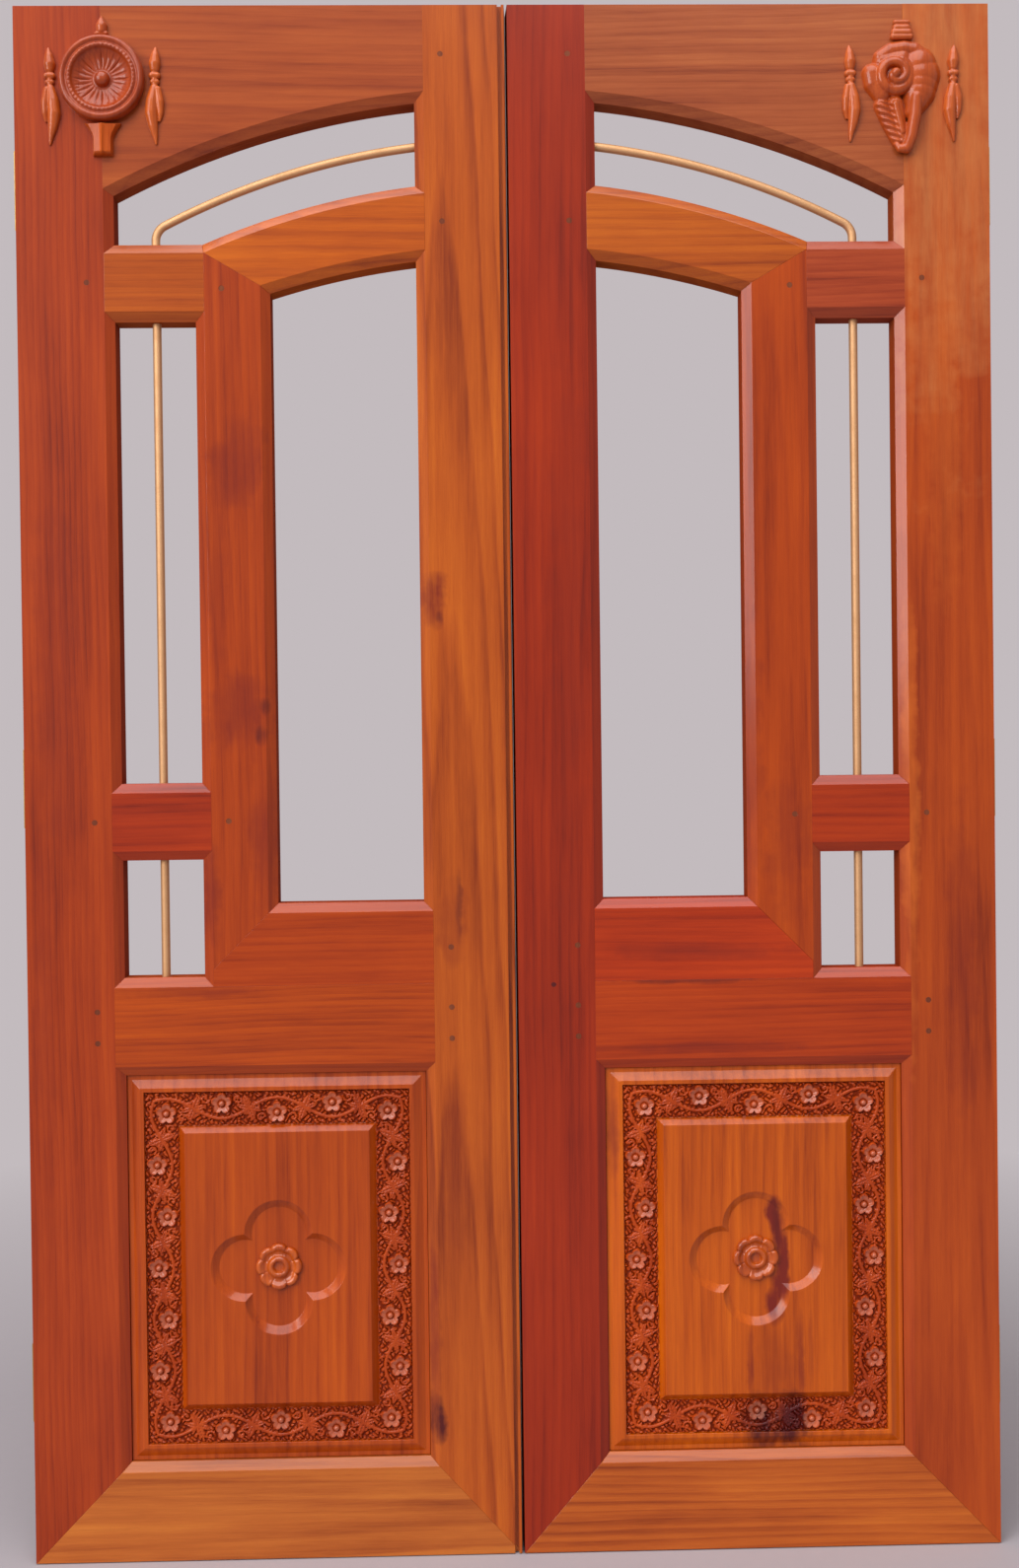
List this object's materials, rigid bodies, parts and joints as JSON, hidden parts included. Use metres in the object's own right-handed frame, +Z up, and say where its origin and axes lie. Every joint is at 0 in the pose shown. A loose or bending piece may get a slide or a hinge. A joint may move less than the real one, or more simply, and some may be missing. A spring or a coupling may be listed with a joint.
{
  "type": "double temple door",
  "caption": "Double temple door in varnished teak: arched open lights with bent brass rods, flower-carved panels with quatrefoils, and discus and conch emblems",
  "frame": {"origin": "Middle of the pair at the foot of the leaves and the middle of their thickness", "axes": "+X to the viewer's right, +Y from the carved front to the back, +Z up"},
  "size_m": [1.2514, 0.0722, 1.9799],
  "materials": {
    "teak_stile": "teak with upright grain under a satin varnish",
    "teak_rail": "teak with level grain under a satin varnish",
    "teak_panel": "carved teak board with upright grain under a satin varnish",
    "teak_carving": "carved teak under a satin varnish, darker in the hollows",
    "teak_peg": "end grain of teak pegs under varnish",
    "brass": "polished brass, a little dulled",
    "hinge_brass": "brushed brass"
  },
  "bodies": {
    "jambs": {"left_jamb_plates": "hinge_brass", "left_hinge_pins": "hinge_brass", "right_jamb_plates": "hinge_brass", "right_hinge_pins": "hinge_brass"},
    "left_leaf": {"left_hinge_stile": "teak_stile", "left_meeting_stile": "teak_stile", "left_top_rail": "teak_rail", "left_arched_rail": "teak_rail", "left_mullion": "teak_stile", "left_sill_rail": "teak_rail", "left_upper_link_rail": "teak_rail", "left_lower_link_rail": "teak_rail", "left_lock_rail": "teak_rail", "left_bottom_rail": "teak_rail", "left_carved_panel": "teak_panel", "left_rosette": "teak_carving", "left_brass_rod": "brass", "left_tenon_pegs": "teak_peg", "left_hinge_plates": "hinge_brass", "left_hinge_screws": "hinge_brass", "discus": "teak_carving", "discus_crown": "teak_carving", "discus_foot": "teak_carving", "discus_flames": "teak_carving"},
    "right_leaf": {"right_hinge_stile": "teak_stile", "right_meeting_stile": "teak_stile", "right_top_rail": "teak_rail", "right_arched_rail": "teak_rail", "right_mullion": "teak_stile", "right_sill_rail": "teak_rail", "right_upper_link_rail": "teak_rail", "right_lower_link_rail": "teak_rail", "right_lock_rail": "teak_rail", "right_bottom_rail": "teak_rail", "right_carved_panel": "teak_panel", "right_rosette": "teak_carving", "right_brass_rod": "brass", "right_tenon_pegs": "teak_peg", "right_hinge_plates": "hinge_brass", "right_hinge_screws": "hinge_brass", "conch": "teak_carving", "conch_crown": "teak_carving", "conch_flames": "teak_carving"}
  },
  "joints": [
    {"name": "left_swing", "type": "hinge", "parent": "jambs", "child": "left_leaf", "pos_m": [-0.62025, 0.025, 0.98996], "axis": [0, 0, 1], "range_deg": [0, 110]},
    {"name": "right_swing", "type": "hinge", "parent": "jambs", "child": "right_leaf", "pos_m": [0.62025, 0.025, 0.98996], "axis": [0, 0, -1], "range_deg": [0, 110]}
  ]
}
